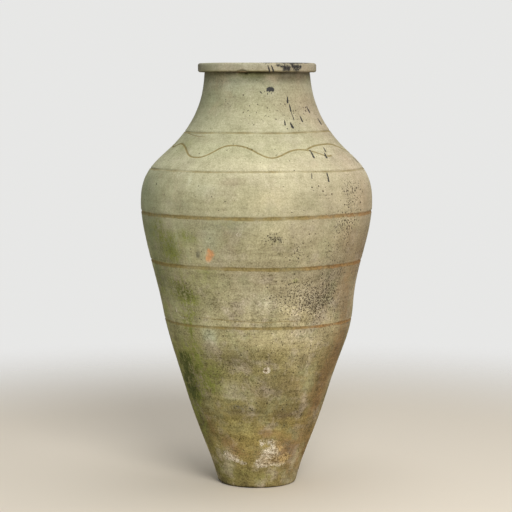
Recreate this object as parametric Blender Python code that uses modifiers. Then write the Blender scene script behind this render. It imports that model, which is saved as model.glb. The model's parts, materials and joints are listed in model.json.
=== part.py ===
"""Tall storage jar of fired clay, made of nine turned sections that lap into one another.

The jar stands on the origin with its axis along +Z. Lengths are in metres.
A flat base disc carries seven rings of wall, and a collar forms the rim.
"""

import math

import bpy
import numpy as np

# The outside of the wall from floor to rim: height, radius
OUTLINE = (
    (0.000, 0.0920),
    (0.030, 0.1005),
    (0.090, 0.1220),
    (0.180, 0.1560),
    (0.260, 0.1815),
    (0.340, 0.2080),
    (0.390, 0.2215),
    (0.450, 0.2310),
    (0.520, 0.2460),
    (0.600, 0.2655),
    (0.660, 0.2740),
    (0.700, 0.2730),
    (0.735, 0.2630),
    (0.770, 0.2385),
    (0.800, 0.2070),
    (0.840, 0.1720),
    (0.890, 0.1440),
    (0.930, 0.1310),
    (0.978, 0.1245),
)

# Wall thickness, square to the surface: it thins from the foot to the neck
WALL_AT_FOOT = 0.022
WALL_AT_NECK = 0.016

# The rings of wall from the bottom up: name, height of the joint on top of it
BASE_TOP = 0.045
RINGS = (
    ("foot_wall", 0.192),
    ("lower_body", 0.398),
    ("belly_lower", 0.537),
    ("belly_upper", 0.653),
    ("shoulder", 0.755),
    ("wave_band", 0.840),
    ("neck", 0.978),
)
# Joints that the potter marked with a line scored round the jar
SCORED_JOINTS = (0.398, 0.537, 0.653, 0.755, 0.840)
SCORE_WIDTH = 0.005
SCORE_DEPTH = 0.0015

# Lap joints: the inner half of each edge stands up into the section above
LAP_HEIGHT = 0.006
GAP = 0.0003

# Rim collar
RIM_TOP = 1.000
RIM_RADIUS = 0.140
RIM_EDGE_ROUND = 0.004
MOUTH_LIP_ROUND = 0.008
ROUND_STEPS = 3

BASE_EDGE_ROUND = 0.003

TURN_STEPS = 40
OUTER_SPACING = 0.032
INNER_SPACING = 0.060
SHARP_ANGLE = math.radians(40)

# Fired clay under a film of lichen and lime: base colour and roughness for each section
CLAY = {
    "base_disc": ((0.22, 0.18, 0.09), 0.90),
    "foot_wall": ((0.26, 0.20, 0.10), 0.92),
    "lower_body": ((0.27, 0.23, 0.12), 0.92),
    "belly_lower": ((0.33, 0.28, 0.17), 0.90),
    "belly_upper": ((0.37, 0.32, 0.20), 0.90),
    "shoulder": ((0.48, 0.43, 0.29), 0.88),
    "wave_band": ((0.55, 0.50, 0.35), 0.88),
    "neck": ((0.50, 0.45, 0.31), 0.88),
    "rim_collar": ((0.42, 0.38, 0.28), 0.85),
}


def clear_scene():
    for obj in list(bpy.data.objects):
        bpy.data.objects.remove(obj, do_unlink=True)


def smooth_curve(points):
    """A natural cubic spline through (height, radius) points, as a function of height."""
    z, r = (np.array(values) for values in zip(*points))
    step = np.diff(z)
    rise = np.diff(r) / step
    system = np.eye(len(z))
    bend = np.zeros(len(z))
    for i in range(1, len(z) - 1):
        system[i, i - 1 : i + 2] = step[i - 1], 2 * (step[i - 1] + step[i]), step[i]
        bend[i] = 6 * (rise[i] - rise[i - 1])
    second = np.linalg.solve(system, bend)

    def radius(height):
        i = np.clip(np.searchsorted(z, height) - 1, 0, len(step) - 1)
        t = height - z[i]
        slope = rise[i] - step[i] * (2 * second[i] + second[i + 1]) / 6
        cubic = (second[i + 1] - second[i]) / (6 * step[i])
        return r[i] + t * (slope + t * (second[i] / 2 + t * cubic))

    return radius


outer_radius = smooth_curve(OUTLINE)


def inside_of_wall():
    """Heights and radii down the inner face: the outer face moved in by the wall's thickness."""
    z = np.linspace(OUTLINE[0][0], OUTLINE[-1][0], 400)
    r = outer_radius(z)
    slope = np.gradient(r, z)
    length = np.hypot(1, slope)
    wall = np.interp(z, (z[0], z[-1]), (WALL_AT_FOOT, WALL_AT_NECK))
    return z + wall * slope / length, r - wall / length


INNER_HEIGHTS, INNER_RADII = inside_of_wall()


def inner_radius(height):
    return float(np.interp(height, INNER_HEIGHTS, INNER_RADII))


def lap_radius(joint):
    """Where a joint steps up, halfway through the wall."""
    return (float(outer_radius(joint)) + inner_radius(joint)) / 2


def levels(low, high, spacing):
    """Evenly spaced heights strictly between two others."""
    count = math.ceil((high - low) / spacing)
    return np.linspace(low, high, count + 1)[1:-1]


def outer_face(low, high):
    """Points down the outside between two heights."""
    return [(float(outer_radius(z)), z) for z in levels(low, high, OUTER_SPACING)[::-1]]


def inner_face(low, high):
    """Points up the inside between two heights."""
    return [(inner_radius(z), z) for z in levels(low, high, INNER_SPACING)]


def outer_corner(joint, edge, side):
    """The outer end of a joint's edge, chamfered where the potter scored a line.

    edge is the height of the flat edge itself, and side is +1 above the joint or -1 below it.
    """
    if joint not in SCORED_JOINTS:
        return [(float(outer_radius(edge)), edge)]
    lip = joint + side * SCORE_WIDTH / 2
    return [(float(outer_radius(edge)) - SCORE_DEPTH, edge), (float(outer_radius(lip)), lip)]


def arc(centre, radius, start, end):
    """Points on a quarter round in the profile's plane, ends included; angles in degrees."""
    turns = np.radians(np.linspace(start, end, ROUND_STEPS + 1))
    return [(centre[0] + radius * math.cos(a), centre[1] + radius * math.sin(a)) for a in turns]


def top_edge(joint):
    """A ring's upper edge from the mouth side outwards: tongue, step, shelf."""
    shelf = joint - GAP / 2
    tongue = shelf + LAP_HEIGHT
    step = lap_radius(joint) - GAP / 2
    return [(inner_radius(tongue), tongue), (step, tongue), (step, shelf)] + outer_corner(
        joint, shelf, -1
    )


def bottom_edge(joint):
    """A ring's lower edge from the outside inwards: it sits over the tongue of the one below."""
    shelf = joint + GAP / 2
    tongue = shelf + LAP_HEIGHT
    step = lap_radius(joint) + GAP / 2
    return outer_corner(joint, shelf, 1)[::-1] + [
        (step, shelf),
        (step, tongue),
        (inner_radius(tongue), tongue),
    ]


def ring_profile(low, high):
    start, end = bottom_edge(low), top_edge(high)
    outside = outer_face(start[0][1], end[-1][1])
    inside = inner_face(start[-1][1], end[0][1])
    return end + outside + start + inside


def foot_wall_profile(high):
    """The lowest ring stands with a plain edge on the base disc's shelf."""
    shelf = BASE_TOP + GAP / 2
    end = top_edge(high)
    start = [(float(outer_radius(shelf)), shelf), (inner_radius(shelf), shelf)]
    return end + outer_face(shelf, end[-1][1]) + start + inner_face(shelf, end[0][1])


def base_disc_profile():
    """A solid disc whose middle rises inside the foot wall."""
    shelf = BASE_TOP - GAP / 2
    plug = inner_radius(BASE_TOP) - GAP
    edge = BASE_EDGE_ROUND
    foot = OUTLINE[0][1] - edge
    return (
        [(0, shelf + LAP_HEIGHT), (plug, shelf + LAP_HEIGHT), (plug, shelf)]
        + [(float(outer_radius(shelf)), shelf), (float(outer_radius(shelf / 2)), shelf / 2)]
        + arc((foot, edge), edge, 0, -90)
        + [(0, 0)]
    )


def rim_collar_profile():
    """A flat-topped collar that overhangs the neck, with a rounded lip into the mouth."""
    joint = RINGS[-1][1]
    under = joint + GAP / 2
    step = lap_radius(joint) + GAP / 2
    mouth = inner_radius(under + LAP_HEIGHT)
    edge = RIM_EDGE_ROUND
    corner = RIM_RADIUS - edge
    lip = MOUTH_LIP_ROUND
    return (
        arc((mouth + lip, RIM_TOP - lip), lip, 180, 90)
        + arc((corner, RIM_TOP - edge), edge, 90, 0)
        + arc((corner, under + edge), edge, 0, -90)
        + [(step, under), (step, under + LAP_HEIGHT), (mouth, under + LAP_HEIGHT)]
    )


def clay_material(name):
    colour, roughness = CLAY[name]
    material = bpy.data.materials.new(f"clay_{name}")
    material.use_nodes = True
    shader = material.node_tree.nodes["Principled BSDF"]
    shader.inputs["Base Color"].default_value = (*colour, 1)
    shader.inputs["Roughness"].default_value = roughness
    shader.inputs["Metallic"].default_value = 0
    return material


def turned(name, profile, closed, collection):
    """One section: its half outline at +X, turned round Z."""
    count = len(profile)
    edges = [(i, i + 1) for i in range(count - 1)]
    if closed:
        edges.append((count - 1, 0))
    mesh = bpy.data.meshes.new(name)
    mesh.from_pydata([(r, 0, z) for r, z in profile], edges, [])
    mesh.materials.append(clay_material(name))
    section = bpy.data.objects.new(name, mesh)
    collection.objects.link(section)
    screw = section.modifiers.new("turned", "SCREW")
    screw.axis = "Z"
    screw.angle = 2 * math.pi
    screw.steps = TURN_STEPS
    screw.render_steps = TURN_STEPS
    screw.use_merge_vertices = True
    screw.merge_threshold = 0.00001
    screw.use_smooth_shade = True
    return section


def shade_by_angle(section):
    """Turns the profile into its final mesh, smooth except at the joints' square corners."""
    graph = bpy.context.evaluated_depsgraph_get()
    mesh = bpy.data.meshes.new_from_object(section.evaluated_get(graph))
    section.modifiers.clear()
    section.data = mesh
    mesh.shade_smooth()
    mesh.set_sharp_from_angle(angle=SHARP_ANGLE)


def build_jar():
    collection = bpy.data.collections.new("storage_jar")
    bpy.context.scene.collection.children.link(collection)
    sections = [turned("base_disc", base_disc_profile(), False, collection)]
    low = BASE_TOP
    for name, high in RINGS:
        profile = foot_wall_profile(high) if low == BASE_TOP else ring_profile(low, high)
        sections.append(turned(name, profile, True, collection))
        low = high
    sections.append(turned("rim_collar", rim_collar_profile(), True, collection))
    bpy.context.view_layer.update()
    for section in sections:
        shade_by_angle(section)


clear_scene()
build_jar()
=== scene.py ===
"""Looks of the tall clay storage jar: nine weathered sections, standing on a pale floor.

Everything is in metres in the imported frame: the jar stands on the origin, +Z up, and is seen
from -Y. A bearing is the angle round the jar in degrees: 0 faces -Y and +90 faces +X.
"""

import json
import math

import bpy
import numpy as np
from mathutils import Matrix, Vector


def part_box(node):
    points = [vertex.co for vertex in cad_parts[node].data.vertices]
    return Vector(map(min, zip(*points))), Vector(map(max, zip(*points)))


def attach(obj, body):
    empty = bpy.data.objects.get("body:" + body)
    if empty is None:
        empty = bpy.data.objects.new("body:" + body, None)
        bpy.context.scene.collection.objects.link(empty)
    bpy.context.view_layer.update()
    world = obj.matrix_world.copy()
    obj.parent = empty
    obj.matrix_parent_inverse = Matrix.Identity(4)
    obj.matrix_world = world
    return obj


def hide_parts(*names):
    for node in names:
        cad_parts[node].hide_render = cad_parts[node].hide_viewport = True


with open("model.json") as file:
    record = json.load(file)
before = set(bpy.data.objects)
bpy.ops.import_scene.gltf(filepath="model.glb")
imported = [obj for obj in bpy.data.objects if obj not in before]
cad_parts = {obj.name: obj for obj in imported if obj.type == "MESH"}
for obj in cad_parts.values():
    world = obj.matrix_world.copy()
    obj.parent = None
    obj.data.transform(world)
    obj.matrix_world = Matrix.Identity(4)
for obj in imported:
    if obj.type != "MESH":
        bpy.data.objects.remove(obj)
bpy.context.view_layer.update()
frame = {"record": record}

# ----------------------------------------------------------
# Sizes

# The outside of the wall from floor to rim: height, radius
OUTLINE = (
    (0.000, 0.0920), (0.030, 0.1005), (0.090, 0.1220), (0.180, 0.1560), (0.260, 0.1815),
    (0.340, 0.2080), (0.390, 0.2215), (0.450, 0.2310), (0.520, 0.2460), (0.600, 0.2655),
    (0.660, 0.2740), (0.700, 0.2730), (0.735, 0.2630), (0.770, 0.2385), (0.800, 0.2070),
    (0.840, 0.1720), (0.890, 0.1440), (0.930, 0.1310), (0.978, 0.1245),
)
WALL_AT_FOOT = 0.022
WALL_AT_NECK = 0.016
GAP = 0.0001
LAP_HEIGHT = 0.006
RIM_EDGE_ROUND = 0.0058
RIM_LOWER_ROUND = 0.0054
MOUTH_LIP_ROUND = 0.008
BASE_EDGE_ROUND = 0.006

# Sections from the bottom up, and the height of the joint under each one but the first
SECTIONS = (
    "base_disc", "foot_wall", "lower_body", "belly_lower", "belly_upper",
    "shoulder", "wave_band", "neck", "rim_collar",
)
JOINT_UNDER = {name: round(float(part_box(name)[0][2]), 3) for name in SECTIONS[1:]}
JOINT_OVER = {name: JOINT_UNDER[above] for name, above in zip(SECTIONS, SECTIONS[1:])}
RIM_RADIUS = float(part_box("rim_collar")[1][0])
RIM_TOP = float(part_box("rim_collar")[1][2])
FINISH = {part["node"]: part["material_slot"] for part in frame["record"]["subparts"]}

# How finely the surfaces are meshed: columns round the jar, then the steps between rows on most
# of the outside, where it has fine marks, on its long cone, and inside
COLUMNS = 840
OUTER_STEP = 0.0020
FINE_STEP = 0.0013
LONG_STEP = 0.0026
INNER_STEP = 0.016
# How far the first rows are from a joint
EDGE_STEPS = (0.0007, 0.0014, 0.0021, 0.0030)
BEARINGS = np.arange(COLUMNS) * 360.0 / COLUMNS

# ----------------------------------------------------------
# Noise and curves


def lattice(cells, seed):
    """A repeatable value from 0 to 1 for each whole-numbered corner of space."""
    x, y, z = (cells[..., i].astype(np.uint32) for i in range(3))
    n = x * np.uint32(374761393) + y * np.uint32(668265263) + z * np.uint32(2147483647)
    n = n + np.uint32(seed * 144665 + 1013)
    n = (n ^ (n >> np.uint32(13))) * np.uint32(1274126177)
    n = (n ^ (n >> np.uint32(16))) * np.uint32(2246822519)
    return (n ^ (n >> np.uint32(15))).astype(np.float64) / 4294967295.0


def noise(points, size, seed, octaves=1, flat=1.0):
    """Smooth noise from -1 to 1 with features size metres across, flat times shorter upwards."""
    total = np.zeros(points.shape[:-1])
    for octave in range(octaves):
        scaled = points * np.array((1, 1, flat)) * (2.0**octave / size) + 1000.0
        whole = np.floor(scaled).astype(np.int64)
        part = scaled - whole
        part = part * part * (3 - 2 * part)
        for corner in np.ndindex(2, 2, 2):
            share = 0.5**octave
            for axis, side in enumerate(corner):
                share = share * (part[..., axis] if side else 1 - part[..., axis])
            total += share * (2 * lattice(whole + np.array(corner), seed + 31 * octave) - 1)
    return total / (2 - 0.5 ** (octaves - 1))


def smoothstep(low, high, value):
    t = np.clip((value - low) / (high - low), 0, 1)
    return t * t * (3 - 2 * t)


def smooth_curve(points):
    """A natural cubic spline through (position, value) points, level past its ends."""
    x, y = (np.array(values, float) for values in zip(*points))
    step = np.diff(x)
    rise = np.diff(y) / step
    system = np.eye(len(x))
    bend = np.zeros(len(x))
    for i in range(1, len(x) - 1):
        system[i, i - 1 : i + 2] = step[i - 1], 2 * (step[i - 1] + step[i]), step[i]
        bend[i] = 6 * (rise[i] - rise[i - 1])
    second = np.linalg.solve(system, bend)

    def value(at):
        at = np.clip(at, x[0], x[-1])
        i = np.clip(np.searchsorted(x, at) - 1, 0, len(step) - 1)
        t = at - x[i]
        slope = rise[i] - step[i] * (2 * second[i] + second[i + 1]) / 6
        cubic = (second[i + 1] - second[i]) / (6 * step[i])
        return y[i] + t * (slope + t * (second[i] / 2 + t * cubic))

    return value


outer_radius = smooth_curve(OUTLINE)


def outer_slope(z):
    """How fast the outer radius grows upwards."""
    reach = 0.0005
    return (outer_radius(z + reach) - outer_radius(z - reach)) / (2 * reach)


def inside_of_wall():
    """Heights and radii down the inner face: the outer face moved in by the wall's thickness."""
    z = np.linspace(OUTLINE[0][0], OUTLINE[-1][0], 400)
    r = outer_radius(z)
    slope = np.gradient(r, z)
    length = np.hypot(1, slope)
    wall = np.interp(z, (z[0], z[-1]), (WALL_AT_FOOT, WALL_AT_NECK))
    return z + wall * slope / length, r - wall / length


INNER_HEIGHTS, INNER_RADII = inside_of_wall()


def inner_radius(z):
    return np.interp(z, INNER_HEIGHTS, INNER_RADII)


def lap_radius(joint):
    """Where a joint steps up, halfway through the wall."""
    return (float(outer_radius(joint)) + float(inner_radius(joint))) / 2


# ----------------------------------------------------------
# The potter's marks and the wear: bearings in degrees, lengths in metres

# How far the jar leans out of round towards +X, by height
LEAN = smooth_curve(
    (
        (0.00, 0.0004), (0.20, 0.0002), (0.29, 0.0012), (0.35, 0.0030), (0.41, 0.0026),
        (0.47, -0.0008), (0.60, -0.0016), (0.72, -0.0010), (0.80, 0.0010), (1.00, 0.0002),
    )
)

# The wavy line is one stroke round the shoulder that runs on over its own start: bearing, height
WAVE = (
    (33, 0.8020), (39.5, 0.8087), (50.5, 0.8127), (60, 0.8127), (68, 0.8073), (76.5, 0.7990),
    (85, 0.7895), (91, 0.7868), (98, 0.7905), (107, 0.8070), (116, 0.8118), (125, 0.8070),
    (135, 0.7915), (141, 0.7862), (148, 0.7900), (158, 0.8070), (167, 0.8130), (176, 0.8085),
    (186, 0.7925), (192, 0.7872), (199, 0.7905), (209, 0.8060), (217, 0.8110), (226, 0.8060),
    (236, 0.7910), (242, 0.7866), (249, 0.7910), (258, 0.8060), (267, 0.8125), (277, 0.8060),
    (284, 0.8050), (293, 0.8128), (300, 0.8100), (307, 0.8015), (316, 0.7875), (321, 0.7853),
    (326, 0.7873), (331, 0.7965), (336, 0.8073), (343.5, 0.8122), (351.5, 0.8093),
    (358, 0.8005), (363.7, 0.7900), (368.5, 0.7853), (373.5, 0.7889), (380.5, 0.7987),
    (389.5, 0.8027), (395, 0.8003), (400, 0.7953), (407, 0.7873), (412, 0.7886),
)

# Short extra scratches beside the scored lines: bearings and heights, half width, depth
EXTRA_STROKES = (
    (((-71, 0.8372), (-58, 0.8334), (-49, 0.8308), (-41, 0.8307)), 0.0016, 0.0008),
    (
        ((-36, 0.4190), (-24, 0.4172), (-12, 0.4145), (0, 0.4128), (14, 0.4130), (24, 0.4140)),
        0.0018, 0.0007,
    ),
    (((-57, 0.4345), (-54, 0.4250), (-50, 0.4178), (-45, 0.4165)), 0.0014, 0.0007),
    (((150, 0.6560), (161, 0.6605), (172, 0.6590)), 0.0016, 0.0007),
    (((214, 0.4060), (228, 0.4095), (246, 0.4065)), 0.0016, 0.0006),
)

# Depth and half width of the line along the joint under a section, and how much soil it holds
SCORE = {
    "foot_wall": (0.0005, 0.0016, 0.0),
    "lower_body": (0.0004, 0.0050, 0.0),
    "belly_lower": (0.0012, 0.0034, 0.9),
    "belly_upper": (0.0014, 0.0042, 1.0),
    "shoulder": (0.0014, 0.0042, 1.0),
    "wave_band": (0.0012, 0.0028, 0.7),
    "neck": (0.0012, 0.0028, 0.7),
}
# How far below a line its soil settles
SOIL_SAG = 0.0012
WAVE_DEPTH = 0.0012
WAVE_HALF_WIDTH = 0.0036

# Knocks and flaked spots: bearing, height, half width across, half height, depth
CHIPS = (
    (-15, 0.9785, 0.016, 0.007, 0.0034), (-24.3, 0.565, 0.0085, 0.0125, 0.001),
    (-30.5, 0.6847, 0.0025, 0.0035, 0.0012), (-9, 0.6153, 0.003, 0.003, 0.001),
    (58, 0.226, 0.006, 0.0045, 0.0015), (104, 0.979, 0.016, 0.006, 0.0025),
    (196, 0.996, 0.011, 0.005, 0.0022), (262, 0.9785, 0.009, 0.006, 0.0028),
    (141, 0.49, 0.011, 0.009, 0.0012), (232, 0.35, 0.008, 0.012, 0.0014),
    (170, 0.003, 0.014, 0.006, 0.003), (285, 0.004, 0.01, 0.0055, 0.0025),
)


def turn_from(bearings, centre):
    """Signed angle in degrees from a centre bearing, the short way round."""
    return (bearings - centre + 180) % 360 - 180


def wander(bearings, heights):
    """How far the potter's lines stray up or down from level."""
    turn = np.radians(bearings)
    high = smoothstep(0.78, 0.84, heights) * smoothstep(0.965, 0.90, heights)
    stray = 0.0008 * np.sin(2 * turn + 19 * heights) + 0.0005 * np.sin(5 * turn - 41 * heights)
    free = smoothstep(0.045, 0.12, heights) * smoothstep(0.975, 0.93, heights)
    return free * stray + high * (0.0010 + 0.0019 * np.sin(turn))


def stroke(bearings, heights, radii, points, half_width):
    """How deep in a drawn stroke each place is, from 0 outside to 1 on its middle line."""
    curve = smooth_curve(points)
    first, last = points[0][0], points[-1][0]
    depth = np.zeros(np.broadcast(bearings, heights).shape)
    slant = np.hypot(1, outer_slope(heights))
    for lap in (-360, 0, 360):
        at = bearings + lap
        reach = smoothstep(first - 1.0, first + 2.0, at) * smoothstep(last + 1.0, last - 2.0, at)
        if not reach.any():
            continue
        rise = (curve(at + 0.5) - curve(at - 0.5)) * slant / (np.radians(1.0) * radii)
        away = np.abs(heights - curve(at)) * slant / np.hypot(1, rise)
        depth = np.maximum(depth, reach * smoothstep(half_width, 0.25 * half_width, away))
    return depth


def spots(bearings, heights, radii, places):
    """Soft oval spots, added up. A place is bearing, height, half width, half height, strength."""
    slant = np.hypot(1, outer_slope(heights))
    total = np.zeros(np.broadcast(bearings, heights).shape)
    lowest, highest = heights.min(), heights.max()
    for bearing, height, across, up, strength in places:
        if not lowest - 3 * up < height < highest + 3 * up:
            continue
        x = np.radians(turn_from(bearings, bearing)) * radii / across
        y = (heights - height) * slant / up
        total += strength * np.exp(-(x * x + y * y))
    return total


def relief(points, bearings, heights, radii):
    """How far the outside stands proud of the smooth outline, and how deep it is in a line."""
    rough = 1.0 + 1.2 * smoothstep(0.45, 0.05, heights)
    height = 0.0009 * noise(points, 0.23, 1, 2)
    height += 0.00022 * noise(points, 0.085, 2, 2, flat=7.0)
    height += 0.00016 * rough * noise(points, 0.022, 3, 2)
    height += 0.00014 * rough * noise(points, 0.0055, 4, 2)
    line = np.zeros(height.shape)
    unsure = 0.85 + 0.25 * noise(points, 0.03, 5)
    slant = np.hypot(1, outer_slope(heights))
    for name, (depth, half_width, soil) in SCORE.items():
        joint = JOINT_UNDER[name]
        away = np.abs(heights - joint - wander(bearings, joint)) * slant
        inside = smoothstep(half_width, 0.2 * half_width, away)
        height -= depth * unsure * inside
        height += 0.15 * depth * smoothstep(2.2, 1.0, away / half_width) * (1 - inside)
        settled = np.abs(heights + SOIL_SAG - joint - wander(bearings, joint)) * slant
        reach = half_width * (1 + 0.30 * noise(points, 0.012, 26, 2))
        band = smoothstep(1.6 * reach, 0.5 * reach, settled)
        line = np.maximum(line, soil * (0.86 + 0.5 * noise(points, 0.030, 27, 3)) * band)
    drawn = stroke(bearings, heights, radii, WAVE, WAVE_HALF_WIDTH)
    height -= WAVE_DEPTH * unsure * drawn
    line = np.maximum(line, 0.95 * drawn)
    for course, half_width, depth in EXTRA_STROKES:
        drawn = stroke(bearings, heights, radii, course, half_width)
        height -= depth * drawn
        line = np.maximum(line, 0.75 * drawn)
    for bearing, level, across, up, depth in CHIPS:
        if abs(heights - level).min() > 3 * up:
            continue
        x = np.radians(turn_from(bearings, bearing)) * radii / across
        y = (heights - level) / up
        ragged = 1 + 0.35 * noise(points, 0.006, 6)
        height -= depth * smoothstep(1.0, 0.55, np.hypot(x, y) * ragged)
    return height, line


# ----------------------------------------------------------
# Meshes


def placed(bearings, r, z):
    """Points at bearings, radii and heights."""
    turn = np.radians(bearings)
    return np.stack(np.broadcast_arrays(r * np.sin(turn), -r * np.cos(turn), z), axis=-1)


def weathered(r, z, normal_r, normal_z):
    """Rows of the outside with their relief: positions, and how deep in a line each one is."""
    bearings = BEARINGS[None, :]
    lean = LEAN(z) * np.sin(np.radians(bearings))
    smooth = placed(bearings, r + lean, z)
    height, line = relief(smooth, bearings, z, r)
    return placed(bearings, r + lean + height * normal_r, z + height * normal_z), line


def outside_of_wall(low, high, step):
    """Rows up the outside of a ring of wall, closer together at the lines along its edges."""
    z = np.linspace(low, high, 2000)
    run = np.cumsum(np.hypot(np.gradient(z), np.gradient(outer_radius(z))))
    run -= run[0]
    edge = EDGE_STEPS[-1]
    count = math.ceil((run[-1] - 2 * edge) / step)
    between = np.linspace(edge, run[-1] - edge, count + 1)
    near = np.array((0.0,) + EDGE_STEPS[:-1])
    z = np.interp(np.concatenate((near, between, run[-1] - near[::-1])), run, z)[:, None]
    z = z + wander(BEARINGS[None, :], z)
    slope = outer_slope(z)
    length = np.hypot(1, slope)
    return weathered(outer_radius(z), z, 1 / length, -slope / length)


def inside_rows(low, high):
    """Rows down the inside of a ring of wall, with the ridges that the potter's fingers left."""
    count = max(2, math.ceil((high - low) / INNER_STEP))
    z = np.linspace(high, low, count + 1)[:, None]
    smooth = placed(BEARINGS[None, :], inner_radius(z), z)
    ridge = 0.0008 * np.sin(z * 2 * math.pi / 0.031 + noise(smooth, 0.2, 8))
    ridge = ridge + 0.0008 * noise(smooth, 0.08, 9, 2) + 0.0004 * noise(smooth, 0.02, 10)
    return placed(BEARINGS[None, :], inner_radius(z) + ridge, z)


def level_row(r, z):
    return placed(BEARINGS[None, :], np.array([[r]]), np.array([[z]]))


def section_mesh(name, rows, closed):
    """A mesh of rows turned round the axis: closed on itself, or with a point at each end."""
    count = len(rows)
    corners = rows.reshape(-1, 3)
    row = np.arange(count if closed else count - 1)[:, None]
    column = np.arange(COLUMNS)[None, :]
    after = (column + 1) % COLUMNS
    above = (row + 1) % count
    quads = np.stack(
        np.broadcast_arrays(
            row * COLUMNS + column, row * COLUMNS + after,
            above * COLUMNS + after, above * COLUMNS + column,
        ),
        axis=-1,
    ).reshape(-1, 4)
    tips = []
    if not closed:
        ends = (rows[0].mean(axis=0), rows[-1].mean(axis=0))
        corners = np.concatenate((corners, ends))
        ring = np.arange(COLUMNS)
        bottom = np.stack((np.full(COLUMNS, count * COLUMNS), np.roll(ring, -1), ring), axis=-1)
        last = (count - 1) * COLUMNS + ring
        top = np.stack((np.full(COLUMNS, count * COLUMNS + 1), last, np.roll(last, -1)), axis=-1)
        tips = np.concatenate((bottom, top))
    mesh = bpy.data.meshes.new(name)
    mesh.vertices.add(len(corners))
    mesh.vertices.foreach_set("co", corners.astype(np.float32).ravel())
    indices = quads.ravel()
    starts = np.arange(len(quads)) * 4
    if len(tips):
        starts = np.concatenate((starts, 4 * len(quads) + 3 * np.arange(len(tips))))
        indices = np.concatenate((indices, tips.ravel()))
    mesh.loops.add(len(indices))
    mesh.loops.foreach_set("vertex_index", indices.astype(np.int32))
    mesh.polygons.add(len(starts))
    mesh.polygons.foreach_set("loop_start", starts.astype(np.int32))
    mesh.update(calc_edges=True)
    mesh.validate()
    return mesh


def arc(centre_r, centre_z, radius, start, end, step):
    """Rows round a quarter round, ends included: radius, height and outward normal."""
    count = max(4, math.ceil(abs(math.radians(end - start)) * radius / step))
    turn = np.radians(np.linspace(start, end, count + 1))
    out, up = np.cos(turn), np.sin(turn)
    return np.stack((centre_r + radius * out, centre_z + radius * up, out, up), axis=-1)


def straight(start, end, normal, step):
    """Rows strictly between two (radius, height) places, with one outward normal."""
    count = max(1, math.ceil(math.dist(start, end) / step))
    share = np.linspace(0, 1, count + 1)[1:-1, None]
    places = np.array(start) * (1 - share) + np.array(end) * share
    return np.concatenate((places, np.tile(normal, (len(places), 1))), axis=1)


def weathered_path(path):
    return weathered(*(path[:, i : i + 1] for i in range(4)))


def upper_edge(name):
    """The shelf and the tongue on top of a section, from the outside inwards."""
    shelf = JOINT_OVER[name] - GAP / 2
    step = lap_radius(JOINT_OVER[name]) - GAP / 2
    return [level_row(step, shelf), level_row(step, shelf + LAP_HEIGHT)]


def lower_edge(name):
    """The edge of a section that sits over the tongue below it, from the inside outwards."""
    shelf = JOINT_UNDER[name] + GAP / 2
    step = lap_radius(JOINT_UNDER[name]) + GAP / 2
    return [level_row(step, shelf + LAP_HEIGHT), level_row(step, shelf)]


def ring_rows(name):
    """A ring's rows: any before the weathered outside, the outside, its lines, and the rest."""
    low = JOINT_UNDER[name] + GAP / 2
    high = JOINT_OVER[name] - GAP / 2
    step = {"wave_band": FINE_STEP, "lower_body": LONG_STEP}.get(name, OUTER_STEP)
    outside, line = outside_of_wall(low, high, step)
    if name == "foot_wall":
        inside = [inside_rows(low, high + LAP_HEIGHT)]
    else:
        inside = [inside_rows(low + LAP_HEIGHT, high + LAP_HEIGHT)] + lower_edge(name)
    return [], outside, line, upper_edge(name) + inside


def base_rows():
    """The solid disc under the jar: flat below, with a plug that rises inside the foot wall."""
    shelf = JOINT_OVER["base_disc"] - GAP / 2
    plug = float(inner_radius(shelf)) - GAP
    foot = OUTLINE[0][1]
    edge = BASE_EDGE_ROUND
    z = np.linspace(edge, shelf, math.ceil((shelf - edge) / FINE_STEP))[1:]
    slope = outer_slope(z)
    length = np.hypot(1, slope)
    side = np.stack((outer_radius(z), z, 1 / length, -slope / length), axis=-1)
    corner = arc(foot - edge, edge, edge, -90, 0, FINE_STEP)
    corner[:, 0] += outer_radius(corner[:, 1]) - foot
    outside, line = weathered_path(np.concatenate((corner, side)))
    outside[..., 2] = np.maximum(outside[..., 2], 0)
    below = [level_row(r, 0) for r in np.linspace(0.008, foot - edge, 8)[:-1]]
    above = [level_row(plug, shelf), level_row(plug, shelf + LAP_HEIGHT)]
    above += [level_row(r, shelf + LAP_HEIGHT) for r in np.linspace(plug, 0.008, 8)[1:]]
    return below, outside, line, above


def rim_rows():
    """The collar: flat on top, overhanging the neck, with a rounded lip into the mouth."""
    under = JOINT_UNDER["rim_collar"] + GAP / 2
    mouth = float(inner_radius(under))
    corner = RIM_RADIUS - RIM_EDGE_ROUND
    lower_corner = RIM_RADIUS - RIM_LOWER_ROUND
    neck = float(outer_radius(under))
    low, high = under + RIM_LOWER_ROUND, RIM_TOP - RIM_EDGE_ROUND
    lip = MOUTH_LIP_ROUND
    down, out, up, inward = (0, -1), (1, 0), (0, 1), (-1, 0)
    path = np.concatenate(
        (
            straight((neck, under), (lower_corner, under), down, FINE_STEP),
            arc(lower_corner, low, RIM_LOWER_ROUND, -90, 0, FINE_STEP),
            straight((RIM_RADIUS, low), (RIM_RADIUS, high), out, FINE_STEP),
            arc(corner, high, RIM_EDGE_ROUND, 0, 90, FINE_STEP),
            straight((corner, RIM_TOP), (mouth + lip, RIM_TOP), up, FINE_STEP),
            arc(mouth + lip, RIM_TOP - lip, lip, 90, 180, FINE_STEP),
            straight((mouth, RIM_TOP - lip), (mouth, under + LAP_HEIGHT), inward, FINE_STEP),
        )
    )
    outside, line = weathered_path(path)
    inside = [level_row(mouth, under + LAP_HEIGHT)] + lower_edge("rim_collar")
    return [], outside, line, inside + [level_row(neck + GAP, under)]


# ----------------------------------------------------------
# Stains and colours


def in_metres(*rows):
    """Rows of a table written in degrees and millimetres, with their lengths in metres."""
    return tuple((row[0], *(length / 1000 for length in row[1:4]), *row[4:]) for row in rows)


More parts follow.
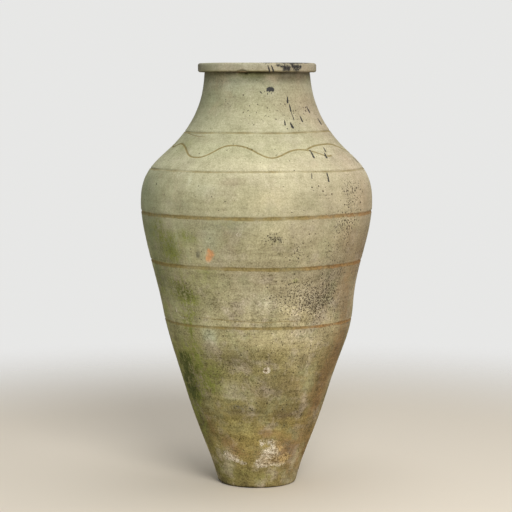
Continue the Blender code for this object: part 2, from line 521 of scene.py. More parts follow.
# Where the surface is stained: bearing, height, half width, half height, strength
MOSS = in_metres(
    (-62, 316, 34, 28, 1.25), (-61, 274, 34, 28, 1.45), (-59, 232, 32, 26, 1.25),
    (-46, 300, 38, 50, 0.7), (-36, 278, 34, 36, 0.5), (-35, 247, 24, 18, 0.4),
    (-43.5, 398, 18, 30, 0.65), (-45, 360, 22, 24, 0.45), (-46, 474, 36, 26, 1.05),
    (-38, 456, 26, 20, 0.35), (-42, 428, 26, 20, 0.6), (-28, 520, 36, 20, 0.4),
    (-49, 575, 36, 34, 0.8), (-36, 606, 34, 18, 0.5), (-58, 620, 40, 30, 0.6),
    (-15, 636, 46, 18, 0.3), (-72, 450, 50, 120, 0.5), (-72, 240, 50, 80, 1),
    (-64, 160, 30, 40, 0.8), (-56, 90, 22, 26, 0.45), (-20, 34, 60, 18, 0.4), (25, 24, 60, 12, 0.3),
    (22, 505, 14, 8, 0.5), (-5, 383, 50, 8, 0.3), (-8, 150, 50, 20, 0.25), (-52, 540, 100, 90, 0.3),
    (-48, 340, 80, 100, 0.3),
)
OCHRE = in_metres(
    (66, 430, 50, 50, 0.6), (68, 330, 56, 60, 1.2), (64, 290, 50, 44, 1), (60, 245, 40, 40, 1),
    (58, 205, 34, 36, 0.9), (60, 125, 34, 40, 0.6), (66, 550, 60, 50, 0.6), (64, 490, 50, 30, 0.5),
    (24, 118, 18, 24, 0.8), (31, 92, 16, 26, 1.3), (40, 84, 18, 28, 1.2), (9, 143, 22, 12, 1),
    (-2, 100, 16, 22, 0.7), (-22, 92, 22, 16, 1.1), (-34, 118, 22, 22, 1.1), (-50, 150, 16, 34, 1),
    (15, 70, 34, 30, 0.6), (52, 30, 30, 20, 0.7),
)
GRIME = in_metres(
    (-16, 205, 35, 10, 0.7), (24, 207, 26, 12, 0.5), (0, 200, 60, 14, 0.4),
    (-15, 982, 13, 3.6, 0.8), (6.6, 262, 7, 22, 0.7), (7.5, 607, 15, 10, 0.9),
    (10.5, 598, 6, 6, 0.6), (-30.5, 572, 9, 12, 0.9), (36, 447, 30, 14, 0.3),
    (-16, 330, 40, 30, 0.3),
)
LIME = in_metres(
    (-46, 100, 6, 16, 0.5), (-39, 78, 13, 11, 0.75), (-32, 80, 12, 8, 0.7), (-26, 75, 12, 5, 0.8),
    (-19, 67, 10, 5, 1), (3, 66, 11, 10, 1.1), (9, 58, 18, 10, 1), (18, 70, 24, 16, 1),
    (12, 92, 22, 14, 0.9), (4, 119, 8, 10, 0.95), (14, 122, 12, 9, 0.9), (21, 106, 18, 13, 0.85),
    (31, 68, 20, 18, 0.7), (38, 72, 12, 18, 0.6), (47, 85, 14, 14, 0.3), (-30, 93, 24, 14, 0.4),
    (-55, 430, 3, 6, 0.7), (-50, 418, 12, 1.8, 0.8),
)
SPECKLE = in_metres(
    (36, 448, 30, 15, 2.2), (43, 468, 30, 22, 1.3), (33, 466, 54, 38, 0.8), (17, 468, 30, 20, 0.6),
    (22, 500, 40, 18, 0.5), (44, 500, 34, 30, 0.6), (27, 420, 60, 16, 0.35), (52, 680, 22, 50, 0.8),
    (56, 715, 34, 20, 0.5), (48, 630, 34, 34, 0.5), (45, 580, 40, 20, 0.5), (42, 380, 40, 30, 0.3),
    (25, 330, 60, 40, 0.12), (-12, 310, 50, 30, 0.12), (33, 705, 30, 20, 0.12),
    (-14, 203, 36, 12, 0.4), (24, 200, 30, 12, 0.3), (7.5, 607, 16, 11, 1.2), (10.8, 597, 8, 8, 1),
    (20, 578, 26, 14, 0.4), (4, 255, 12, 30, 0.25), (30, 890, 50, 20, 0.2), (2, 888, 60, 30, 0.12),
)
# Pale rings: bearing, height, radius, half width, strength
RINGS = in_metres(
    (6.6, 297.5, 4.4, 3.6, 1.7), (-9, 615.3, 3.6, 1.4, 0.7),
)
# Where a flake has come off and the clay is bare
BARE = in_metres(
    (-23.4, 570, 8.5, 9, 1.2), (-25.4, 559, 7.5, 8.5, 1.1), (-24.6, 578, 5, 5, 0.7),
)

# Old black paint, and painted shade along the rim's top edge
PAINT_AND_RIM_EDGE_SHADE = in_metres(
    (11.2, 940, 3.6, 2.6, 1.5), (13.4, 941.2, 4.4, 3.2, 1.7), (16.2, 938.2, 3.8, 4.4, 1.7),
    (13.6, 937.2, 4.6, 2.4, 1.4), (13, 934.5, 1.8, 3.4, 1.3), (10.2, 935.2, 2.4, 2, 1.4),
    (7.4, 933.5, 1.4, 1.4, 1.1), (3.6, 933, 1.2, 1.4, 1.2), (4.4, 931, 1.3, 1.6, 1.2),
    (5.2, 929, 1.1, 1.2, 1), (3, 934.5, 1.2, 1.2, 1), (10.6, 929, 1.2, 2.8, 1.2),
    (14.6, 930, 1.2, 1.8, 1), (20.2, 993.5, 5.6, 3, 1.3), (23.4, 990.5, 3.6, 2.6, 0.9),
    (27.4, 987.6, 7.2, 9, 1.08), (31.8, 986.8, 5.6, 8, 0.95), (35.2, 993.5, 3.6, 4.2, 0.8),
    (38.6, 988, 7.4, 9.2, 1.08), (42.8, 989, 6, 8, 0.95), (46, 990, 3.4, 4.6, 0.9),
    # The strips along the top edge at 1000 mm: partly paint smeared there, partly painted shade
    (32, 1000, 44, 2.6, 0.9), (56, 1000, 30, 1.4, 0.9), (8, 1000, 16, 1.6, 0.7),
    (24.6, 849, 1.8, 1.8, 1.2),
)
# Its drips, in degrees and metres: where each starts, where it ends, half width
PAINT_DRIPS = (
    ((10.4, 0.993), (11.9, 0.9805), 0.0012), ((13.8, 0.9925), (15.7, 0.98), 0.0012),
    ((31.9, 0.922), (30.9, 0.909), 0.0013), ((32.4, 0.9035), (32.6, 0.889), 0.0013),
    ((32.6, 0.889), (33.4, 0.868), 0.0007), ((54.8, 0.8985), (56.2, 0.8855), 0.0015),
    ((41.3, 0.876), (41.8, 0.8655), 0.0015), ((24, 0.868), (23.7, 0.858), 0.0011),
    ((29.1, 0.862), (29.9, 0.8525), 0.0021), ((67, 0.87), (68.2, 0.859), 0.0024),
    ((35.9, 0.8005), (35.3, 0.785), 0.0016), ((49.3, 0.806), (48.4, 0.7975), 0.0013),
    ((46.2, 0.7935), (45.2, 0.784), 0.0017), ((38.5, 0.7515), (37.9, 0.7325), 0.0013),
    ((28.9, 0.7515), (28.2, 0.74), 0.0008), ((79, 0.78), (80, 0.769), 0.0026),
)


def drips(bearings, heights, radii):
    """Old paint that ran down the outside."""
    total = np.zeros(np.broadcast(bearings, heights).shape)
    slant = np.hypot(1, outer_slope(heights))
    for (bearing, high), (end_bearing, low), half_width in PAINT_DRIPS:
        x = np.radians(turn_from(bearings, bearing)) * radii
        y = (high - heights) * slant
        end_x = math.radians(end_bearing - bearing) * radii
        end_y = (high - low) * slant
        along = np.clip((x * end_x + y * end_y) / (end_x**2 + end_y**2), 0, 1)
        away = np.hypot(x - along * end_x, y - along * end_y)
        width = half_width * (0.65 + 1.1 * along * (1 - 0.5 * along))
        total = np.maximum(total, 1.4 * smoothstep(2.0 * width, 0.5 * width, away))
    return total


def rings(bearings, heights, radii):
    """How strong the pale rings are."""
    total = np.zeros(np.broadcast(bearings, heights).shape)
    for bearing, level, radius, half_width, strength in RINGS:
        x = np.radians(turn_from(bearings, bearing)) * radii
        away = np.hypot(x, (heights - level) * np.hypot(1, outer_slope(heights))) - radius
        total += strength * np.exp(-((away / half_width) ** 2))
    return total


# The colour of the weathered clay at each height in metres, with painted shade at the foot and
# under the rim: red, green and blue as seen on a screen, in per cent
TONES = (
    # Rows at 0 and 0.005: painted contact shadow on the round edge where the foot meets the floor
    (0, (27, 24, 15)), (0.005, (50, 45, 28)), (0.012, (54, 49, 30)), (0.045, (57, 52, 32)),
    (0.08, (60, 53, 32)), (0.15, (59, 53, 31)), (0.19, (52, 47, 28)), (0.25, (58, 54, 35.5)),
    (0.33, (57, 53, 35)), (0.38, (65, 61, 45)), (0.45, (66, 62, 48)), (0.52, (64, 60, 47)),
    (0.6, (64, 61, 47)), (0.64, (67, 64, 51)), (0.69, (71, 68, 54)), (0.77, (74, 71, 58)),
    (0.8, (71, 69, 55)), (0.86, (70, 68, 55)), (0.9, (67, 65, 52)), (0.945, (65, 64, 52)),
    # 0.953 to 0.98: painted shadow of the overhanging rim, darkest in the joint line, which also
    #                holds dirt
    (0.953, (60, 59, 48)), (0.96, (53, 53, 42)), (0.9665, (44, 44, 32)), (0.972, (42, 41, 28)),
    (0.9755, (38, 37, 22)), (0.9775, (17, 15.5, 5.5)), (0.98, (40, 36, 22)), (0.982, (64, 61, 49)),
    (0.9855, (64, 61, 51)), (1, (66, 64, 54)),
)
INSIDE_TONE = (62, 50, 36)

# Broad washes over that: bearing, height, half width, half height, strength, colour in per cent
WASHES = in_metres(
    (-60, 920, 60, 60, 0.6, (60, 60, 47)), (52, 905, 60, 50, 0.8, (64, 59, 47)),
    (72, 860, 70, 60, 0.7, (68, 62, 51)), (-30, 947, 40, 12, 0.6, (70, 70, 59)),
    (-52, 930, 30, 14, 0.6, (55, 55, 42)), (-40, 902, 30, 10, 0.5, (58, 57, 43)),
    # The wash at bearing 44, 966 mm darkens the band under the rim, partly painted shadow of the
    # rim
    (4, 885, 26, 26, 0.5, (72, 70, 56)), (44, 966, 50, 8, 0.8, (46, 41, 30)),
    (62, 990, 70, 20, 0.7, (63, 59, 49)), (-82, 988, 28, 20, 0.9, (42, 40, 33)),
    (88, 988, 22, 20, 0.6, (52, 46, 38)), (-57, 812, 30, 16, 0.7, (64, 63, 46)),
    (-72, 700, 80, 60, 0.7, (62, 63, 50)), (-40, 680, 40, 14, 0.7, (63, 61, 49)),
    (-12, 733, 30, 12, 0.8, (67, 62, 50)), (-26, 716, 30, 18, 0.6, (75, 73, 61)),
    (5, 698, 40, 20, 0.6, (75, 71, 56)), (37, 703, 28, 40, 0.7, (67, 63, 51)),
    (64, 700, 60, 70, 0.8, (69, 63, 50)), (64, 785, 60, 40, 0.7, (71, 66, 55)),
    (-68, 610, 60, 50, 0.9, (51, 52, 38)), (-36, 606, 34, 16, 0.7, (57, 57, 40)),
    (-49, 573, 36, 28, 0.9, (49, 50, 33)), (-40, 632, 20, 12, 0.7, (66, 64, 51)),
    (-14, 638, 46, 16, 0.6, (61, 61, 49)), (-24, 603, 18, 26, 0.8, (69, 68, 56)),
    (22, 615, 50, 34, 0.6, (68, 64, 52)), (56, 600, 50, 50, 0.8, (61, 55, 42)),
    (75, 560, 50, 60, 0.7, (58, 52, 41)), (-70, 520, 60, 60, 0.8, (53, 54, 39)),
    (-30, 500, 50, 40, 0.6, (59, 57, 40)), (-2, 523, 40, 22, 0.6, (64, 59, 48)),
    (3, 457, 36, 22, 0.8, (71, 68, 56)), (13, 480, 24, 20, 0.7, (54, 50, 38)),
    (34, 466, 50, 34, 0.6, (64, 60, 49)), (62, 500, 50, 60, 0.8, (57, 50, 37)),
    (66, 430, 40, 40, 0.7, (58, 52, 40)), (-62, 440, 40, 40, 0.6, (59, 58, 43)),
    (-30, 378, 18, 20, 1, (72, 72, 60)), (-57, 368, 20, 30, 0.7, (56, 54, 37)),
    (-12, 322, 44, 18, 0.9, (46, 42, 29)), (0, 406.5, 120, 3, 0.6, (74, 70, 55)),
    (-43, 600, 6, 26, 0.7, (69, 68, 56)), (-37, 560, 5, 20, 0.5, (66, 65, 52)),
    (-52, 500, 8, 30, 0.6, (64, 64, 50)), (-36, 735, 4, 14, 0.6, (80, 78, 66)),
    (-2, 364, 46, 18, 0.6, (66, 61, 46)), (31, 326, 36, 26, 0.6, (62, 58, 44)),
    (28, 374, 46, 18, 0.8, (72, 68, 55)), (28, 262, 40, 30, 0.7, (56, 50, 33)),
    (-78, 250, 50, 100, 0.8, (41, 39, 19)), (68, 80, 34, 50, 0.8, (52, 42, 24)),
    (66, 330, 34, 60, 1, (47, 39, 26)), (58, 250, 28, 50, 0.9, (49, 40, 24)),
    (60, 195, 26, 36, 0.9, (51, 40, 24)), (-32, 290, 30, 34, 0.7, (50, 49, 28)),
    (-19, 250, 28, 20, 0.8, (65, 62, 48)), (1, 245, 34, 20, 0.6, (64, 58, 46)),
    (-17, 190, 48, 11, 0.8, (47, 42, 28)), (27, 188, 32, 11, 0.8, (47, 41, 29)),
    (-14, 150, 34, 18, 0.8, (61, 57, 38)), (-28, 114, 24, 18, 0.9, (59, 50, 31)),
    (8, 145, 20, 14, 0.9, (54, 45, 27)), (27, 100, 14, 14, 0.8, (64, 54, 37)),
    (42, 90, 20, 30, 0.9, (49, 37, 20)), (49, 128, 20, 26, 0.7, (58, 50, 34)),
    (-56, 38, 40, 30, 0.8, (49, 46, 27)), (53, 34, 30, 30, 0.8, (54, 46, 28)),
    (-72, 135, 28, 50, 0.9, (43, 41, 21)), (-49, 172, 18, 26, 0.8, (48, 43, 24)),
)

# Lighter and darker patches: bearing, height, half width, half height, change
SHADES = in_metres(
    (9, 620, 46, 38, 0.24), (25, 430, 34, 18, 0.45), (22, 358, 50, 40, 0.22),
    (-37, 542, 44, 50, 0.2), (52, 642, 35, 18, 0.28), (-25, 770, 46, 20, 0.09),
    (3, 770, 60, 20, 0.1), (-12, 112, 30, 50, 0.14), (-26, 210, 36, 22, 0.2),
    (62, 270, 60, 50, 0.22), (26, 836, 34, 34, -0.14), (26, 698, 38, 38, -0.15),
    (-14, 620, 40, 26, -0.2), (43, 510, 44, 55, -0.36), (18, 522, 34, 10, -0.28),
    (-6, 494, 22, 40, -0.2), (33, 82, 34, 34, -0.5), (46, 232, 24, 45, -0.26),
    (14, 236, 80, 60, -0.22), (-51, 250, 26, 45, -0.55), (-62, 170, 26, 70, -0.35),
    # This row darkens and evens the band under the rim, partly painted shadow of the rim, partly
    # dirt
    (34, 967, 62, 10, -0.42), (-6, 972, 30, 7, 0.14), (-41, 957, 45, 10, -0.26),
)
# How the clay's red, green and blue change towards the right, and the other way on the left
WARM_SIDE = (0.040, -0.030, 0.0)


def linear(colour):
    """A screen colour in per cent as light from 0 to 1: the sRGB curve undone."""
    colour = np.asarray(colour, float) / 100
    return np.where(colour <= 0.04045, colour / 12.92, ((colour + 0.055) / 1.055) ** 2.4)


def unseen(places, count, seed):
    """The same kinds of stain scattered over the back of the jar, bearings 95 to 265."""
    chance = np.random.default_rng(seed)
    scattered = []
    for _ in range(count):
        source = places[chance.integers(len(places))]
        height = float(np.clip(source[1] + chance.normal(0, 0.06), 0.02, 0.97))
        scattered.append((chance.uniform(95, 265), height) + source[2:])
    return places + tuple(scattered)


def tones(bearings, heights, radii):
    """The broad colour of the outside at each place, with painted shade at the foot and under the
    rim.
    """
    levels = [level for level, _ in TONES]
    colours = linear([colour for _, colour in TONES])
    tone = np.stack([np.interp(heights, levels, colours[:, i]) for i in range(3)], axis=-1)
    for bearing, level, across, up, strength, colour in unseen(WASHES, 50, 3):
        if not heights.min() - 3 * up < level < heights.max() + 3 * up:
            continue
        share = spots(bearings, heights, radii, ((bearing, level, across, up, strength),))
        tone += share[..., None] * (linear(colour) - tone)
    side = np.sin(np.radians(bearings)) * (1 - 0.5 * smoothstep(0.70, 0.86, heights))
    shade = 1 + spots(bearings, heights, radii, SHADES)[..., None]
    return tone * shade * (1 + side[..., None] * WARM_SIDE)


def add_colour(mesh, name, red, green, blue, alpha=1.0):
    layer = mesh.attributes.new(name, "FLOAT_COLOR", "POINT")
    values = np.stack(np.broadcast_arrays(red, green, blue, alpha), axis=-1)
    layer.data.foreach_set("color", values.astype(np.float32).ravel())


def stain(mesh, line, outside):
    """Stores on each vertex the broad colour there, and how much of each stain."""
    corners = np.empty(len(mesh.vertices) * 3, np.float32)
    mesh.vertices.foreach_get("co", corners)
    corners = corners.reshape(-1, 3).astype(float)
    x, y, z = corners.T
    bearings = np.degrees(np.arctan2(x, -y))
    radii = np.hypot(x, y) + 1e-6
    exact = (bearings, z, radii)
    # Stains are looked up a little way off, by an amount that wanders, so that their edges do too
    along = 0.011 * noise(corners, 0.050, 21, 3) + 0.004 * noise(corners, 0.012, 22)
    upwards = 0.011 * noise(corners, 0.050, 23, 3) + 0.004 * noise(corners, 0.012, 24)
    firm = smoothstep(0.96, 0.93, z)
    near = (bearings + np.degrees(along / radii), z + upwards * firm, radii)
    patchy = 1 + 0.45 * noise(corners, 0.028, 25, 3)
    tone = outside[:, None] * tones(*near) + (1 - outside[:, None]) * linear(INSIDE_TONE)
    grubby = outside * smoothstep(0.80, 0.30, z)
    add_colour(mesh, "tone", *tone.T, grubby)
    growth = [
        outside * patchy * spots(*near, unseen(MOSS, 18, 4)),
        outside * (patchy * spots(*near, unseen(LIME, 12, 5)) + rings(*exact)),
        outside * patchy * spots(*near, unseen(SPECKLE, 14, 6)),
    ]
    add_colour(mesh, "growth", *growth)
    # paint holds the old paint and its drips, and the painted shade along the rim's top edge
    paint = np.maximum(spots(*exact, PAINT_AND_RIM_EDGE_SHADE), drips(*exact))
    turn = turn_from(bearings, 0)
    rusty = smoothstep(5, 50, turn) * smoothstep(175, 110, turn) * smoothstep(0.76, 0.66, z)
    rusty = rusty * (1 + 0.7 * noise(corners, 0.040, 28, 2))
    add_colour(mesh, "marks", line, outside * paint, outside * spots(*exact, BARE), rusty)
    grime = outside * patchy * spots(*near, unseen(GRIME, 8, 7))
    ochre = outside * patchy * spots(*near, unseen(OCHRE, 12, 8))
    add_colour(mesh, "soil", grime, ochre, outside)


# ----------------------------------------------------------
# Materials

# Colours of the marks on the clay, as light. Pairs run from the darker to the paler part of a
# mark, except for the moss, which runs from thin to thick
DUST = (0.47, 0.395, 0.305)
GREEN_FILM = (0.27, 0.265, 0.135)
RUBBED_CLAY = (0.46, 0.35, 0.22)
FLECK = (0.13, 0.11, 0.06)
GRIME_COLOUR = (0.11, 0.10, 0.07)
OCHRE_COLOUR = (0.225, 0.140, 0.055)
MOSS_COLOURS = ((0.190, 0.205, 0.042), (0.046, 0.060, 0.007))
LIME_COLOURS = ((0.22, 0.140, 0.060), (0.72, 0.65, 0.50))
BROWNED_LIME = ((0.150, 0.090, 0.026), (0.57, 0.41, 0.18))
SPECK = (0.040, 0.028, 0.013)
SOIL = ((0.160, 0.115, 0.026), (0.300, 0.225, 0.072))
RUSTY_SOIL = ((0.190, 0.085, 0.020), (0.400, 0.215, 0.068))
# BLACK_PAINT also colours the painted shade along the rim's top edge
BLACK_PAINT = (0.028, 0.026, 0.024)
BARE_CLAY = ((0.56, 0.27, 0.11), (0.74, 0.36, 0.15))
# How far the edge of a dark speck strays
RAGGED_SHIFT = 0.0026
# How strongly the clay's light and dark shows in red, green and blue
UNEVEN_POWERS = (0.95, 1.0, 1.15)


class Field:
    """A value that varies over the surface. Arithmetic with fields adds Math nodes."""

    def __init__(self, socket):
        self.socket = socket
        self.tree = socket.id_data

    def maths(self, operation, other):
        node = new_node(self.tree, "Math", {0: self, 1: other}, operation=operation)
        return Field(node.outputs[0])

    def __add__(self, other):
        return self.maths("ADD", other)

    def __sub__(self, other):
        return self.maths("SUBTRACT", other)

    def __mul__(self, other):
        return self.maths("MULTIPLY", other)

    def __truediv__(self, other):
        return self.maths("DIVIDE", other)


def put(socket, value):
    if isinstance(value, Field):
        value.tree.links.new(value.socket, socket)
    else:
        socket.default_value = value


def new_node(tree, kind, inputs, **settings):
    """A new node, with what goes into its inputs: numbers, or fields that are linked to them."""
    node = tree.nodes.new("ShaderNode" + kind)
    for name, setting in settings.items():
        setattr(node, name, setting)
    for key, value in inputs.items():
        put(node.inputs[key], value)
    return node


def ramp(value, low, high, start=0.0, end=1.0):
    """value taken smoothly from start to end as it goes from low to high."""
    inputs = {"Value": value, "From Min": low, "From Max": high, "To Min": start, "To Max": end}
    node = new_node(value.tree, "MapRange", inputs, interpolation_type="SMOOTHSTEP")
    return Field(node.outputs[0])


def mixed(share, first, second, blend="MIX"):
    """A colour, a share of the way from first to second."""
    tree = next(value.tree for value in (share, first, second) if isinstance(value, Field))
    inputs = {0: share, 6: first, 7: second}
    inputs = {key: (*v, 1) if isinstance(v, tuple) else v for key, v in inputs.items()}
    return Field(new_node(tree, "Mix", inputs, data_type="RGBA", blend_type=blend).outputs[2])


def mixed_value(share, first, second):
    return Field(new_node(share.tree, "Mix", {0: share, 2: first, 3: second}).outputs[0])


def cloud(place, scale, detail, roughness):
    """Noise from 0 to 1."""
    inputs = {"Vector": place, "Scale": scale, "Detail": detail, "Roughness": roughness}
    return Field(new_node(place.tree, "TexNoise", inputs).outputs["Fac"])


def drawn_out(place, across, upwards, detail, roughness):
    """Noise with a different scale across and upwards."""
    node = new_node(place.tree, "Mapping", {"Vector": place, "Scale": (across, across, upwards)})
    return cloud(Field(node.outputs[0]), 1.0, detail, roughness)


def split_up(colour):
    """The red, green and blue of a colour."""
    return [Field(part) for part in new_node(colour.tree, "SeparateColor", {0: colour}).outputs]


def dots(place, scale, density, small, large):
    """Round dots in a share density of the cells: 1 inside a dot."""
    cells = new_node(place.tree, "TexVoronoi", {"Vector": place, "Scale": scale})
    chance, size, _ = split_up(Field(cells.outputs["Color"]))
    chosen = chance.maths("LESS_THAN", density)
    size = ramp(size, 0.0, 1.0, small, large)
    return chosen * ramp(Field(cells.outputs["Distance"]) / size, 1.0, 0.6)


def jagged_place(place):
    """Places shifted a little by noise, so that round dots come out ragged."""
    noise_node = new_node(place.tree, "TexNoise", {"Vector": place, "Scale": 260.0})
    shift = Field(noise_node.outputs["Color"])
    inputs = {0: shift, 1: (RAGGED_SHIFT,) * 3, 2: place}
    return Field(new_node(place.tree, "VectorMath", inputs, operation="MULTIPLY_ADD").outputs[0])


def channels(tree, name):
    """The four amounts stored on the surface under a name."""
    node = new_node(tree, "Attribute", {}, attribute_name=name)
    return (*split_up(Field(node.outputs["Color"])), Field(node.outputs["Alpha"]))


def broken(amount, pattern, low, high, reach):
    """A stain's amount broken up by a pattern, so that its edge is ragged."""
    return ramp(amount + (pattern - 0.5) * reach, low, high)


def mottled(amount, pattern, most):
    """A stain's share: its amount, thinned wherever the pattern is low."""
    return ramp(amount * ramp(pattern, 0.41, 0.59, 0.12, 1.35), 0.0, 1.15, 0.0, most)


def clay_material(name):
    """Weathered clay: the broad colour and stains come from the surface, the detail from here."""
    material = bpy.data.materials.new(name)
    material.use_nodes = True
    tree = material.node_tree
    shader = tree.nodes["Principled BSDF"]
    place = Field(new_node(tree, "TexCoord", {}).outputs["Object"])
    tone = new_node(tree, "Attribute", {}, attribute_name="tone")
    colour, grubby = (Field(tone.outputs[output]) for output in ("Color", "Alpha"))
    moss, lime, speckle, _ = channels(tree, "growth")
    line, paint, bare, rusty = channels(tree, "marks")
    grime, ochre, outside, _ = channels(tree, "soil")

    # Noise from broad patches to single grains, then in bands round the jar and streaks down it
    broad = cloud(place, 9.0, 5.0, 0.62)
    middle = cloud(place, 38.0, 5.0, 0.65)
    fine = cloud(place, 170.0, 4.0, 0.7)
    sand = cloud(place, 330.0, 2.0, 0.6)
    grain = cloud(place, 900.0, 2.0, 0.6)
    wiped = drawn_out(place, 5, 210, 3.0, 0.6)
    drawn = drawn_out(place, 11, 95, 4.0, 0.62)
    streak = drawn_out(place, 60, 5, 4.0, 0.6)
    brushed = drawn_out(place, 130, 26, 4.0, 0.65)
    gritty = fine * 0.5 + grain * 0.5
    patch = middle * 0.35 + fine * 0.40 + brushed * 0.25

    # Light and dark in the clay's own surface, stronger where it is grubby
    weights = (
        (broad, 0.9), (middle, 0.9), (fine, 1.15), (sand, 1.3),
        (grain, 0.9), (wiped, 0.35), (streak, 0.4), (drawn, 0.5),
    )
    uneven = 0.0
    for pattern, weight in weights:
        uneven = (pattern - 0.5) * weight + uneven
    uneven = uneven * ramp(grubby, 0.0, 1.0, 0.68, 1.42) + 1.02
    powers = {index: uneven.maths("POWER", power) for index, power in enumerate(UNEVEN_POWERS)}
    uneven = Field(new_node(tree, "CombineColor", powers).outputs[0])

    # Pale dust and a thin green film in patches, warm clay where it is rubbed thin, dark flecks
    often = outside * ramp(grubby, 0.0, 1.0, 0.35, 1.0)
    dusty = ramp(cloud(place, 21.0, 5.0, 0.62), 0.49, 0.65, 0.0, 0.45)
    colour = mixed(dusty * often, colour, DUST)
    film = ramp(cloud(place, 17.0, 6.0, 0.68), 0.49, 0.67, 0.0, 0.50)
    colour = mixed(film * often, colour, GREEN_FILM)
    rubbed = ramp(drawn_out(place, 14, 10, 5.0, 0.6), 0.56, 0.74, 0.0, 0.30)
    colour = mixed(rubbed * outside, colour, RUBBED_CLAY)
    flecks = ramp(cloud(place, 120.0, 3.0, 0.7), 0.56, 0.70, 0.0, 0.38)
    colour = mixed(flecks * grubby, colour, FLECK)

    # Stains
    colour = mixed(mottled(grime, patch, 0.75), colour, GRIME_COLOUR)
    colour = mixed(mottled(ochre, patch, 0.75), colour, OCHRE_COLOUR)
    thick = ramp(moss * ramp(patch, 0.42, 0.58, 0.55, 1.25), 0.95, 1.75)
    colour = mixed(mottled(moss, patch, 0.92), colour, mixed(thick, *MOSS_COLOURS))
    lime_share = broken(lime, gritty, 0.45, 0.85, 3.6)
    lime_colour = mixed(ramp(gritty, 0.44, 0.56), *LIME_COLOURS)
    browned = mixed(ramp(gritty, 0.44, 0.57), *BROWNED_LIME)
    lime_colour = mixed(ramp(ochre, 0.30, 0.95), lime_colour, browned)
    colour = mixed(lime_share * 0.9, colour, lime_colour)
    colour = mixed(1.0, colour, uneven, "MULTIPLY")

    # Dark specks everywhere, crowded where the stain says so
    density = (speckle * 0.80 + 0.006) * outside * ramp(middle, 0.35, 0.65, 0.4, 1.5)
    crowded = ramp(speckle, 0.7, 2.2, 0.0, 0.75)
    jagged = jagged_place(place)
    specks = dots(jagged, 200.0, density * 0.9, 0.24, 0.54)
    specks = specks.maths("MAXIMUM", dots(jagged, 330.0, density, 0.30, 0.65))
    specks = specks.maths("MAXIMUM", dots(jagged, 165.0, crowded, 0.30, 0.60))
    colour = mixed(specks * ramp(sand, 0.3, 0.6, 1.0, 0.80), colour, SPECK)

    # Soil in the scored lines, black paint with painted shade along the rim's top edge, bare clay
    # under a flake
    line_share = broken(line, gritty, 0.10, 0.95, 1.3)
    varied = ramp(fine, 0.35, 0.65)
    soil = mixed(ramp(rusty, 0.15, 1.0), mixed(varied, *SOIL), mixed(varied, *RUSTY_SOIL))
    colour = mixed(line_share * 0.82, colour, soil)
    paint_share = broken(paint, gritty, 0.40, 0.80, 4.4)
    colour = mixed(paint_share, colour, BLACK_PAINT)
    bare_share = broken(bare, gritty, 0.15, 1.05, 2.2)
    colour = mixed(bare_share * 0.88, colour, mixed(ramp(fine, 0.38, 0.60), *BARE_CLAY))

    put(shader.inputs["Base Color"], colour)
    rough = mixed_value(paint_share, ramp(fine, 0.3, 0.7, 0.86, 0.97), 0.55)
    put(shader.inputs["Roughness"], rough)
    shader.inputs["Specular IOR Level"].default_value = 0.25

    # Sand grain, pores under the specks, crust on the lime, and a hollow under the flake
    height = grain * 0.30 + fine * 0.55 + wiped * 0.25
    height = height - specks * 0.60 + lime_share * 0.60 - bare_share * 0.60
    bump = new_node(tree, "Bump", {"Strength": 0.55, "Distance": 0.0012, "Height": height})
    put(shader.inputs["Normal"], Field(bump.outputs["Normal"]))
    return material


# ----------------------------------------------------------
# The jar


def build_section(name, material):
    """One piece of the jar, which stands for the CAD node of the same name."""
    shapes = {"base_disc": base_rows, "rim_collar": rim_rows}
    before, outside, line, after = shapes[name]() if name in shapes else ring_rows(name)
    rows = np.concatenate(before + [outside] + after)
    mesh = section_mesh(name, rows, name != "base_disc")
    start = sum(map(len, before)) * COLUMNS
    weathered_corners = slice(start, start + len(outside) * COLUMNS)
    is_outside = np.zeros(len(mesh.vertices))
    is_outside[weathered_corners] = 1
    in_line = np.zeros(len(mesh.vertices))
    in_line[weathered_corners] = line.ravel()
    stain(mesh, in_line, is_outside)
    mesh.materials.append(material)
    mesh.shade_smooth()
    mesh.set_sharp_from_angle(angle=math.radians(55))
    piece = bpy.data.objects.new(f"clay_{name}", mesh)
    bpy.context.scene.collection.objects.link(piece)
    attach(piece, "root")
    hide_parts(name)


def build_jar():
    finishes = {slot: clay_material(slot) for slot in sorted(set(FINISH.values()))}
    for name in SECTIONS:
        build_section(name, finishes[FINISH[name]])


# ----------------------------------------------------------
# Floor, light and camera

CAMERA_PLACE = (-0.0021, -4.274, 0.9556)
CAMERA_PITCH = 5.52
CAMERA_LENS = 126.6
SENSOR = 36.0
FLOOR_RADIUS = 3.0
FLOOR_COLOUR = (0.80, 0.72, 0.60)
# Distances from the jar between which the floor fades away
FLOOR_FADE = (0.9, 2.4)
BACKGROUND = (0.80, 0.80, 0.79)
# The sky's colour, and how strong it is on the left and on the right
SKY = (0.96, 0.98, 1.0)
SKY_STRENGTHS = (0.34, 0.48)
# Square lights: name, place, aim, size, power, colour
LIGHTS = (
    ("key", (0.9, -3.5, 2.7), (0, 0, 0.50), 1.8, 122, (1.0, 0.99, 0.97)),
    ("top", (0.3, 0.2, 3.2), (0, 0, 0.7), 1.8, 22, (1.0, 1.0, 1.0)),
)


def blended(tree, share, first, second, output):
    """Shows a share of the second shader over the first."""
    blend = new_node(tree, "MixShader", {0: share})
    tree.links.new(first.outputs[0], blend.inputs[1])
    tree.links.new(second.outputs[0], blend.inputs[2])
    tree.links.new(blend.outputs[0], output.inputs["Surface"])


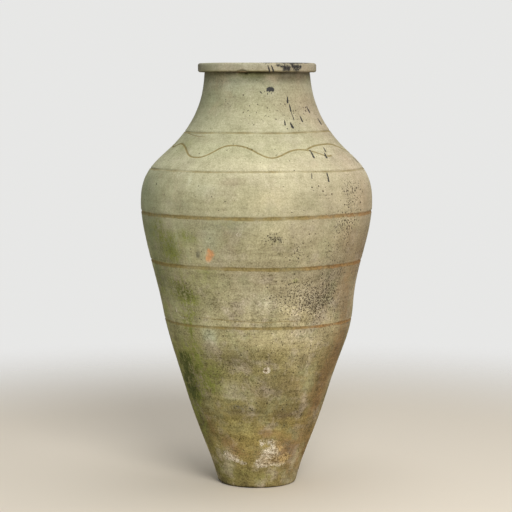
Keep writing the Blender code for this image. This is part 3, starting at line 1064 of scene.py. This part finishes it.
def add_floor():
    """A pale disc that fades out into the background far from the jar."""
    bpy.ops.mesh.primitive_circle_add(vertices=96, radius=FLOOR_RADIUS, fill_type="NGON")
    floor = bpy.context.object
    floor.name = "floor"
    material = bpy.data.materials.new("pale_floor")
    material.use_nodes = True
    tree = material.node_tree
    shader = tree.nodes["Principled BSDF"]
    shader.inputs["Base Color"].default_value = (*FLOOR_COLOUR, 1)
    shader.inputs["Roughness"].default_value = 0.9
    place = Field(new_node(tree, "TexCoord", {}).outputs["Object"])
    distance = new_node(tree, "VectorMath", {0: place}, operation="LENGTH").outputs["Value"]
    clear = new_node(tree, "BsdfTransparent", {})
    fade = ramp(Field(distance), *FLOOR_FADE)
    blended(tree, fade, shader, clear, tree.nodes["Material Output"])
    floor.data.materials.append(material)


def add_light(name, place, aim, size, power, colour):
    light = bpy.data.lights.new(name, "AREA")
    light.shape = "SQUARE"
    light.size = size
    light.energy = power
    light.color = colour
    lamp = bpy.data.objects.new(name, light)
    lamp.location = place
    lamp.rotation_euler = (Vector(aim) - Vector(place)).to_track_quat("-Z", "Y").to_euler()
    bpy.context.scene.collection.objects.link(lamp)


def add_world():
    """Soft light from all round, stronger from the right, behind a plain pale background."""
    world = bpy.data.worlds.new("studio")
    bpy.context.scene.world = world
    world.use_nodes = True
    tree = world.node_tree
    tree.nodes.clear()
    direction = Field(new_node(tree, "TexCoord", {}).outputs["Generated"])
    rightwards = Field(new_node(tree, "SeparateXYZ", {0: direction}).outputs["X"])
    strength = ramp(rightwards, -0.9, 0.9, *SKY_STRENGTHS)
    around = new_node(tree, "Background", {"Strength": strength, "Color": (*SKY, 1)})
    plain = new_node(tree, "Background", {"Color": (*BACKGROUND, 1)})
    seen = Field(new_node(tree, "LightPath", {}).outputs["Is Camera Ray"])
    blended(tree, seen, around, plain, new_node(tree, "OutputWorld", {}))


def add_camera():
    camera = bpy.data.cameras.new("camera")
    camera.sensor_width = SENSOR
    camera.lens = CAMERA_LENS
    camera.clip_end = 50
    holder = bpy.data.objects.new("camera", camera)
    holder.location = CAMERA_PLACE
    holder.rotation_euler = (math.radians(90 - CAMERA_PITCH), 0, 0)
    bpy.context.scene.collection.objects.link(holder)
    bpy.context.scene.camera = holder


bpy.context.scene.view_settings.view_transform = "Standard"
build_jar()
add_floor()
add_world()
for light_settings in LIGHTS:
    add_light(*light_settings)
add_camera()
